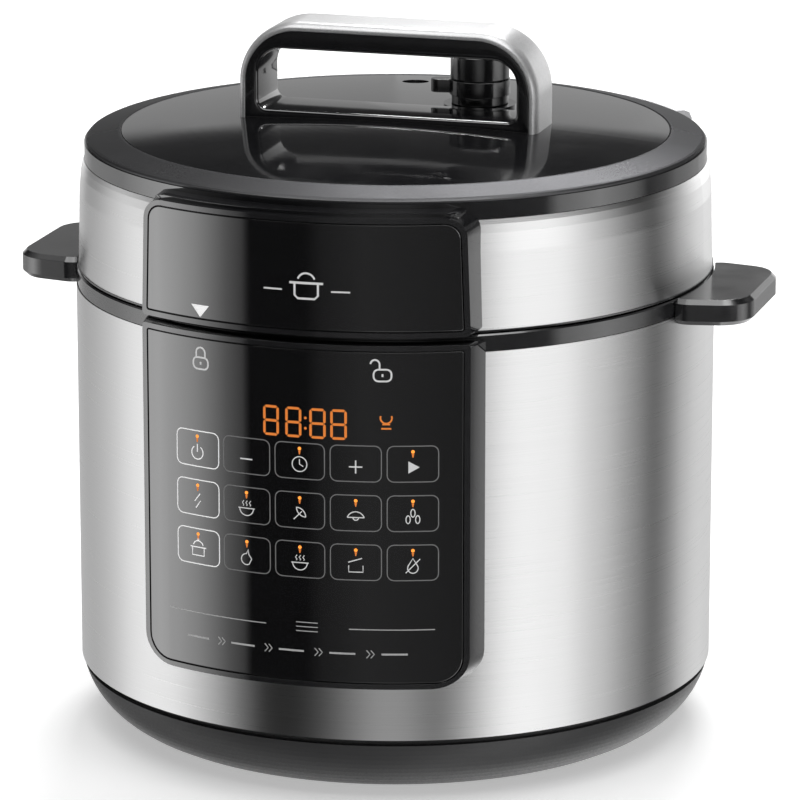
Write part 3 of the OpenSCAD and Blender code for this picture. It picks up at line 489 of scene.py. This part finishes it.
def stroke(path, width, closed=False):
    """A drawn line as quads, mitred at its corners. Points and width in millimetres."""
    n = len(path)
    edges = []
    for i, (x, y) in enumerate(path):
        before = path[i - 1] if closed or i else path[i]
        after = path[(i + 1) % n] if closed or i < n - 1 else path[i]
        dx, dy = after[0] - before[0], after[1] - before[1]
        size = math.hypot(dx, dy) or 1
        ox, oy = -dy / size * width / 2, dx / size * width / 2
        edges.append(((x + ox, y + oy), (x - ox, y - oy)))
    count = n if closed else n - 1
    return [(edges[i][0], edges[i][1], edges[(i + 1) % n][1], edges[(i + 1) % n][0])
            for i in range(count)]


def rounded_box(x0, y0, x1, y1, r, n=4):
    return (arc(x1 - r, y0 + r, r, -90, 0, n) + arc(x1 - r, y1 - r, r, 0, 90, n)
            + arc(x0 + r, y1 - r, r, 90, 180, n) + arc(x0 + r, y0 + r, r, 180, 270, n))


def disc(cx, cy, r, n=16):
    return [tuple(arc(cx, cy, r, 0, 360, n)[:-1])]


def marking(name, shapes, material, body):
    """Flat shapes, in millimetres along the glass and up, laid on it as a thin raised print."""
    flat = bmesh.new()
    for shape in shapes:
        verts = [flat.verts.new((x * MM, z * MM, 0)) for x, z in shape]
        flat.faces.new(verts)
    reach = max(abs(v.co.x) for v in flat.verts)
    step = 2 * MM
    for i in range(-int(reach / step) - 1, int(reach / step) + 2):
        everything = flat.verts[:] + flat.edges[:] + flat.faces[:]
        bmesh.ops.bisect_plane(flat, geom=everything, dist=1e-7,
                               plane_co=(i * step, 0, 0), plane_no=(1, 0, 0))
    solid = bmesh.ops.extrude_face_region(flat, geom=flat.faces[:], use_keep_orig=True)
    lifted = {v for v in solid["geom"] if isinstance(v, bmesh.types.BMVert)}
    for v in flat.verts:
        r = GLASS_R + (PRINT_LIFT if v in lifted else -PRINT_LIFT / 5)
        turn = v.co.x / GLASS_R
        v.co = Vector((r * math.sin(turn), -r * math.cos(turn), v.co.y))
    bmesh.ops.recalc_face_normals(flat, faces=flat.faces)
    mesh = bpy.data.meshes.new(name)
    flat.to_mesh(mesh)
    flat.free()
    mesh.materials.append(material)
    obj = bpy.data.objects.new(name, mesh)
    bpy.context.scene.collection.objects.link(obj)
    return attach(obj, body)


def segment(x0, y0, x1, y1, width):
    """One bar of a digit with pointed ends."""
    dx, dy = x1 - x0, y1 - y0
    size = math.hypot(dx, dy)
    ux, uy = dx / size * width / 2, dy / size * width / 2
    return [(x0, y0), (x0 + ux - uy, y0 + uy + ux), (x1 - ux - uy, y1 - uy + ux),
            (x1, y1), (x1 - ux + uy, y1 - uy - ux), (x0 + ux + uy, y0 + uy - ux)]


def digit(x0, x1, z0, z1):
    """A seven-bar figure eight."""
    width, gap = 1.1, 0.15
    mid = (z0 + z1) / 2
    left, right = x0 + width / 2, x1 - width / 2
    low, high = z0 + width / 2, z1 - width / 2
    bars = [(left, low, right, low), (left, mid, right, mid), (left, high, right, high)]
    bars += [(x, a, x, b) for x in (left, right) for a, b in ((low, mid), (mid, high))]
    shapes = []
    for ax, az, bx, bz in bars:
        size = math.hypot(bx - ax, bz - az)
        ux, uz = (bx - ax) / size * gap, (bz - az) / size * gap
        shapes.append(segment(ax + ux, az + uz, bx - ux, bz - uz, width))
    return shapes


# Places on the panels are in millimetres: along the glass from its middle, and up from the worktop.
DIGIT_W = 7.0
DIGIT_LOW, DIGIT_HIGH = 162, 175
COLON_X = 5.2
COLON_DOTS = (166.2, 170.6)
DIGIT_X = (COLON_X - 18.1, COLON_X - 8.3, COLON_X + 2.1, COLON_X + 11.0)


def make_display():
    """Four digits with a colon between the pairs."""
    bars = [bar for x in DIGIT_X for bar in digit(x, x + DIGIT_W, DIGIT_LOW, DIGIT_HIGH)]
    for z in COLON_DOTS:
        bars += disc(COLON_X + 0.4, z, 0.6)
    marking("display_digits", bars, LED_DIM, "base")


# Touch keys: middle column, pitch, rows, size, corner and line, then the lamp above each sign
KEY_X, KEY_PITCH = 3.0, 23.8
KEY_ROWS = (152.0, 130.7, 109.4)
KEY_W, KEY_H = 21.4, 15.4
KEY_CORNER = 2.8
KEY_LINE = 0.42
SIGN_DROP = 1.4
LAMP_RISE, LAMP_R = 5.3, 0.75

# Pictograms: each function draws one about 8 mm across, round a point, mostly in a fine line.
FINE = 0.45
BOLD = 0.6


def bowl(x, z):
    return (stroke(arc(x, z, 3.2, 180, 360, 10), FINE) + stroke([(x - 3.8, z), (x + 3.8, z)], FINE)
            + steam(x, z + 1))


def steam(x, z):
    shapes = []
    for dx in (-1.6, 0, 1.6):
        wave = [(x + dx + 0.35 * math.sin(t * 1.6), z + t * 0.45) for t in range(6)]
        shapes += stroke(wave, FINE * 0.8)
    return shapes


def pot(x, z):
    return (stroke([(x - 3, z + 1), (x - 3, z - 2.6), (x + 3, z - 2.6), (x + 3, z + 1)], FINE)
            + stroke([(x - 4, z + 1), (x + 4, z + 1)], FINE)
            + stroke(arc(x, z + 1.2, 2.6, 15, 165, 8), FINE) + disc(x, z + 4.3, 0.5))


def clock(x, z):
    return (stroke(arc(x, z, 3.2, 0, 360, 20)[:-1], FINE, True)
            + stroke([(x, z + 2.1), (x, z), (x + 1.6, z - 0.9)], FINE))


def play(x, z):
    return [[(x - 1.9, z - 2.6), (x + 2.8, z), (x - 1.9, z + 2.6)]]


def power(x, z):
    return stroke(arc(x, z - 0.3, 2.9, 125, 415, 18), FINE) + stroke([(x, z), (x, z + 3.4)], FINE)


def bolt(x, z):
    return stroke([(x + 1.2, z + 3.2), (x - 1.6, z - 0.3), (x + 1.4, z + 0.1), (x - 1.0, z - 3.2)],
                  FINE)


def crescent(x, z):
    return (stroke(arc(x, z - 1.8, 3.8, 20, 160, 12), FINE)
            + stroke([(x - 3.6, z - 0.5), (x + 3.6, z - 0.5)], FINE)
            + stroke(arc(x, z - 0.5, 1.2, 180, 360, 6), FINE))


def rice(x, z):
    shapes = []
    for dx, dz in ((-2, -1.2), (0, 1.6), (2, -1.2)):
        oval = [(x + dx + 0.9 * math.cos(t), z + dz + 1.7 * math.sin(t))
                for t in [math.pi * i / 7 for i in range(14)]]
        shapes += stroke(oval, FINE, True)
    return shapes


def flame(x, z):
    left = arc(x - 0.2, z - 0.9, 2.4, 90, 300, 10)
    return stroke(left + [(x + 2.2, z - 0.6), (x + 0.9, z + 1.2), (x + 0.6, z + 3.4)], FINE, True)


def drop(x, z):
    return (stroke(arc(x, z - 0.9, 2.2, 150, 390, 12) + [(x, z + 3.3)], FINE, True)
            + stroke([(x - 3, z - 3), (x + 3, z + 3)], FINE))


def open_lid(x, z):
    return (stroke([(x - 3, z), (x - 3, z - 2.8), (x + 3, z - 2.8), (x + 3, z)], FINE)
            + stroke([(x - 3.2, z + 1.4), (x + 2.6, z + 3.2)], FINE))


def minus(x, z):
    return stroke([(x - 2.8, z), (x + 2.8, z)], BOLD)


def plus(x, z):
    return (minus(x, z) + stroke([(x, z - 2.8), (x, z - BOLD / 2)], BOLD)
            + stroke([(x, z + BOLD / 2), (x, z + 2.8)], BOLD))


def leaf(x, z):
    return (stroke(arc(x - 1.4, z - 1.4, 4, 0, 90, 8) + arc(x + 2.6, z + 2.6, 4, 180, 270, 8),
                   FINE) + stroke([(x - 2.6, z - 2.6), (x + 1, z + 1)], FINE))


PICTOGRAMS = ((power, minus, clock, plus, play),
              (bolt, bowl, leaf, crescent, rice),
              (pot, flame, bowl, open_lid, drop))


def make_keys():
    """Three rows of five touch keys: an outline, a pictogram and a small lamp each.

    The first column is printed whiter than the others and given a stronger painted glow.
    """
    outlines, signs, bright, lamps, glows = [], [], [], [], []
    for z, row in zip(KEY_ROWS, PICTOGRAMS):
        for i, sign in enumerate(row):
            x = KEY_X + (i - 2) * KEY_PITCH
            box = rounded_box(x - KEY_W / 2, z - KEY_H / 2, x + KEY_W / 2, z + KEY_H / 2, KEY_CORNER)
            outline = stroke(box, KEY_LINE, True)
            if i == 0:
                bright += outline + sign(x, z - SIGN_DROP)
            else:
                outlines += outline
                signs += sign(x, z - SIGN_DROP)
            if sign not in (minus, plus):
                lamp_z = z + LAMP_RISE
                lamps += disc(x, lamp_z, LAMP_R)
                glows += [[(x - 0.55, lamp_z - 0.9), (x + 0.55, lamp_z - 0.9),
                           (x + 0.2, lamp_z - 2.5), (x - 0.2, lamp_z - 2.5)]]
    marking("key_outlines", outlines, PRINT_DIM_PAINTED_GLOW, "base")
    marking("key_signs", signs, PRINT_SILVER_PAINTED_GLOW, "base")
    marking("key_first_column", bright, PRINT_WHITE_PAINTED_GLOW, "base")
    marking("key_lamps", lamps, LED_BRIGHT, "base")
    marking("key_lamp_glow", glows, LED_DIM, "base")


# Below the keys: a ruled line with three bars in it, and a row of dashes with arrows between
RULE_Z, RULE_LINE = 80.2, 0.4
RULES = ((-60.3, -12.2), (23.9, 59.9))
BARS, BAR_PITCH, BAR_LINE = (1.2, 10.6), 1.9, 0.35
DASH_Z, DASH_LINE = 69.5, 0.8
DASH_START, DASH_PITCH, DASH_COUNT = -44, 22, 5
ARROW_W, ARROW_H = 1.5, 3.4
DISPLAY_LAMP_X, DISPLAY_LAMP_Z = 39.5, 171.8


def make_legends():
    """Thin rules, dashes with small double arrows between them, and the display's own lamp."""
    rules = []
    for start, end in RULES:
        rules += stroke([(start, RULE_Z), (end, RULE_Z)], RULE_LINE)
    for i in range(DASH_COUNT):
        x = DASH_START + i * DASH_PITCH
        rules += stroke([(x - 6.5, DASH_Z), (x + 4.5, DASH_Z)], DASH_LINE)
        if i < DASH_COUNT - 1:
            for back in (x + 9.2, x + 11.0):
                rules += stroke([(back, DASH_Z + ARROW_H / 2), (back + ARROW_W, DASH_Z),
                                 (back, DASH_Z - ARROW_H / 2)], RULE_LINE)
    for i in (-1, 0, 1):
        z = RULE_Z + i * BAR_PITCH
        rules += stroke([(BARS[0], z), (BARS[1], z)], BAR_LINE)
    marking("panel_rules", rules, PRINT_GREY_PAINTED_GLOW, "base")
    x, z = DISPLAY_LAMP_X, DISPLAY_LAMP_Z
    lamp = stroke(arc(x, z, 2.4, -200, 20, 12), 0.7)
    lamp += stroke([(x - 2.1, z - 4.6), (x + 2.1, z - 4.6)], 0.7)
    lamp += stroke([(x - 1.6, z - 2.8), (x + 1.6, z - 2.8)], BOLD)
    marking("display_lamp", lamp, LED_DIM, "base")


def padlock(x, z, is_open):
    """A small padlock, its shackle swung out to the left when open."""
    shapes = stroke(rounded_box(x - 3.7, z, x + 3.7, z + 5, 2.0), 0.75, True)
    shapes += stroke([(x, z + 1.9), (x, z + 3.1)], 0.8)
    if is_open:
        hook = [(x - 1.2, z + 5.2), (x - 1.2, z + 7.2)] + arc(x - 3.1, z + 7.2, 1.9, 0, 175, 8)
        return shapes + stroke(hook, 0.75)
    bow = [(x - 2.2, z + 5.2)] + arc(x, z + 7.1, 2.2, 180, 0, 8) + [(x + 2.2, z + 5.2)]
    return shapes + stroke(bow, 0.75)


LOCK_X, LOCK_Z = -42.5, 186.6
UNLOCK_X, UNLOCK_Z = 38.0, 187.4
POINTER_W, POINTER_H = 8.8, 5.2
POINTER_Z = lid_glass_lo.z / MM + 0.6


def make_lock_marks():
    """Padlocks on the lower panel, and the lid's pointer that stands over one of them."""
    marking("lock_marks", padlock(LOCK_X, LOCK_Z, False) + padlock(UNLOCK_X, UNLOCK_Z, True),
            PRINT_SILVER_PAINTED_GLOW, "base")
    top = POINTER_Z + POINTER_H
    pointer = [(LOCK_X - POINTER_W / 2, top), (LOCK_X, POINTER_Z), (LOCK_X + POINTER_W / 2, top)]
    marking("lid_pointer", [pointer], PRINT_WHITE_PAINTED_GLOW, "lid")


EMBLEM_X, EMBLEM_Z = 6.2, 226.0


def make_emblem():
    """A plain cooking-pot pictogram between two short rules."""
    x, z = EMBLEM_X, EMBLEM_Z
    shapes = stroke([(x - 5, z + 1.6), (x - 5, z - 3.2), (x - 3.6, z - 4.6), (x + 3.6, z - 4.6),
                     (x + 5, z - 3.2), (x + 5, z + 1.6)], 0.9)
    shapes += stroke([(x - 7.2, z + 2.0), (x + 7.2, z + 2.0)], 1.0)
    shapes += stroke(arc(x, z + 2.4, 3.8, 20, 160, 10), 0.8)
    for side in (-1, 1):
        shapes += stroke([(x + side * 10.5, z - 1.2), (x + side * 18.5, z - 1.2)], 0.7)
    marking("emblem", shapes, PRINT_SILVER_PAINTED_GLOW, "lid")


make_display()
make_keys()
make_legends()
make_lock_marks()
make_emblem()

# ------------------------------------------------------------------ softened CAD edges

# Nodes and the width of their rounded edges in millimetres
SOFT_EDGES = (("control_panel_frame", 0.7), ("lid_panel_frame", 0.7),
              ("control_panel_glass", 0.35), ("lid_panel_glass", 0.35),
              ("carry_handle_left", 0.9), ("carry_handle_right", 0.9),
              ("valve_collar", 0.5), ("pressure_valve", 0.5))

for node, width in SOFT_EDGES:
    soften(node, width * MM)

# ------------------------------------------------------------------ studio

CAMERA_AZIMUTH = 16.6
CAMERA_ELEVATION = 14.6
CAMERA_DISTANCE = 2.3307
AIM = Vector((0, 0, 0.1405))
LENS = 237.15
SENSOR_WIDTH = 36
LENS_SHIFT = 0.0055


def direction(azimuth, elevation):
    """Unit vector towards an azimuth, from the front towards +X, and an elevation."""
    a, e = math.radians(azimuth), math.radians(elevation)
    return Vector((math.sin(a) * math.cos(e), -math.cos(a) * math.cos(e), math.sin(e)))


def make_camera():
    """A long lens that looks at the body from a little above and to the right of its front."""
    data = bpy.data.cameras.new("camera")
    data.lens = LENS
    data.sensor_width = SENSOR_WIDTH
    data.shift_x = LENS_SHIFT
    data.clip_end = 60
    camera = bpy.data.objects.new("camera", data)
    bpy.context.scene.collection.objects.link(camera)
    back = direction(CAMERA_AZIMUTH, CAMERA_ELEVATION)
    camera.location = AIM + back * CAMERA_DISTANCE
    camera.rotation_euler = back.to_track_quat("Z", "Y").to_euler()
    bpy.context.scene.camera = camera


def softbox(name, azimuth, elevation, distance, width, height, power):
    """A rectangular area light that faces the object."""
    data = bpy.data.lights.new(name, "AREA")
    data.shape = "RECTANGLE"
    data.size = width
    data.size_y = height
    data.energy = power
    lamp = bpy.data.objects.new(name, data)
    bpy.context.scene.collection.objects.link(lamp)
    towards = direction(azimuth, elevation)
    lamp.location = AIM + towards * distance
    lamp.rotation_euler = towards.to_track_quat("Z", "Y").to_euler()


# The studio's walls as seen from the object: angle from the camera's side, and brightness
WALLS = ((-180, 0.42), (-174, 0.50), (-165, 1.20), (-150, 0.20), (-136, 0.28), (-126, 0.55),
         (-116, 0.82), (-104, 0.82), (-86, 0.45), (-72, 0.22), (-62, 0.09), (-57, 0.02),
         (-36, 0.02), (-24, 0.12), (-6, 0.50), (4, 0.46), (15, 0.18), (24, 0.42), (33, 1.1),
         (42, 1.75), (56, 1.80), (66, 1.25), (76, 0.60), (86, 0.28), (95, 0.03), (106, 0.03),
         (118, 0.30), (128, 0.70), (138, 1.15), (150, 1.5), (166, 1.5), (176, 0.50))
# A row of reflectors just below the horizon, which is all that the upright glossy faces mirror
REFLECTORS = ((-180, 0.6), (-150, 0.5), (-120, 0.8), (-100, 1.5), (-86, 1.9), (-70, 1.2),
              (-58, 0.45), (-51.5, 0.20), (-50, 0.02), (-30, 0.02), (-24, 0.06), (-10, 0.10),
              (20, 0.07), (45, 0.05), (56, 0.08), (62, 0.75), (80, 1.2), (98, 0.6),
              (106, 0.12), (118, 0.25), (126, 0.5), (150, 0.6))
REFLECTOR_ROW = ((-90, 0), (-21, 0), (-19, 1), (-10.5, 1), (-9, 0), (90, 0))
# The walls' brightness by elevation: full up to the softboxes' lower edge, dark above it
CEILING = ((-90, 1.0), (12.2, 1.0), (13.1, 0.30), (14.4, 0.10), (19, 0.05), (24, 0.08), (32, 0.25),
           (48, 0.4), (60, 0.9), (90, 0.9))


def fill_ramp(ramp, stops, low, high):
    """Sets a colour ramp from (angle, brightness) pairs."""
    elements = ramp.color_ramp.elements
    while len(elements) > 1:
        elements.remove(elements[-1])
    for i, (angle, value) in enumerate(stops):
        position = (angle - low) / (high - low)
        element = elements[0] if i == 0 else elements.new(position)
        element.position = position
        element.color = (value, value, value, 1)


def make_world():
    """The studio around the object: walls, a row of reflectors and a ceiling, from the ramps."""
    world = bpy.data.worlds.new("studio")
    world.use_nodes = True
    bpy.context.scene.world = world
    nodes, links = world.node_tree.nodes, world.node_tree.links

    def math_node(operation, a, b=None, value=None):
        node = nodes.new("ShaderNodeMath")
        node.operation = operation
        links.new(a, node.inputs[0])
        if b is not None:
            links.new(b, node.inputs[1])
        if value is not None:
            node.inputs[1].default_value = value
        return node.outputs[0]

    place = nodes.new("ShaderNodeTexCoord")
    axes = nodes.new("ShaderNodeSeparateXYZ")
    links.new(place.outputs["Generated"], axes.inputs[0])
    front = math_node("MULTIPLY", axes.outputs["Y"], value=-1)
    turn = math_node("ARCTAN2", axes.outputs["X"], front)
    turn = math_node("MULTIPLY", turn, value=1 / math.tau)
    turn = math_node("ADD", turn, value=0.5 - CAMERA_AZIMUTH / 360)
    turn = math_node("FRACT", turn)
    rise = math_node("ARCSINE", axes.outputs["Z"])
    rise = math_node("MULTIPLY", rise, value=1 / math.pi)
    rise = math_node("ADD", rise, value=0.5)

    def ramp(place, stops, low, high, scale=1.0):
        """Brightness read from stops; scale keeps values above one inside the ramp's range."""
        node = nodes.new("ShaderNodeValToRGB")
        fill_ramp(node, [(angle, value / scale) for angle, value in stops], low, high)
        links.new(place, node.inputs["Fac"])
        return math_node("MULTIPLY", node.outputs["Color"], value=scale)

    walls = ramp(turn, WALLS, -180, 180, 2)
    reflectors = ramp(turn, REFLECTORS, -180, 180, 2)
    row = ramp(rise, REFLECTOR_ROW, -90, 90)
    ceiling = ramp(rise, CEILING, -90, 90)
    mix = nodes.new("ShaderNodeMix")
    links.new(row, mix.inputs["Factor"])
    links.new(walls, mix.inputs["A"])
    links.new(reflectors, mix.inputs["B"])
    product = math_node("MULTIPLY", mix.outputs["Result"], ceiling)
    links.new(product, nodes["Background"].inputs["Color"])
    nodes["Background"].inputs["Strength"].default_value = 1.0


def make_floor():
    """Plain pale floor, left out of mirror reflections so that the sides reflect the walls."""
    bpy.ops.mesh.primitive_plane_add(size=30, location=(0, 0, -0.2 * MM))
    floor = bpy.context.object
    floor.name = "floor"
    look = Look("floor_look", (0.86, 0.86, 0.86), 0.8)
    look.set("Emission Color", (1, 1, 1, 1))
    look.set("Emission Strength", 0.42)
    look.tint(look.noise(2, 2), (0.85, 0.85, 0.85), (0.87, 0.87, 0.87))
    floor.data.materials.append(look.material)
    floor.visible_glossy = False


make_camera()
make_world()
make_floor()
softbox("overhead", 0, 88, 2.2, 2.4, 2.4, 34)
softbox("rim_light", CAMERA_AZIMUTH + 172, 36, 2.4, 0.8, 0.4, 24)
view = bpy.context.scene.view_settings
view.view_transform = "Standard"
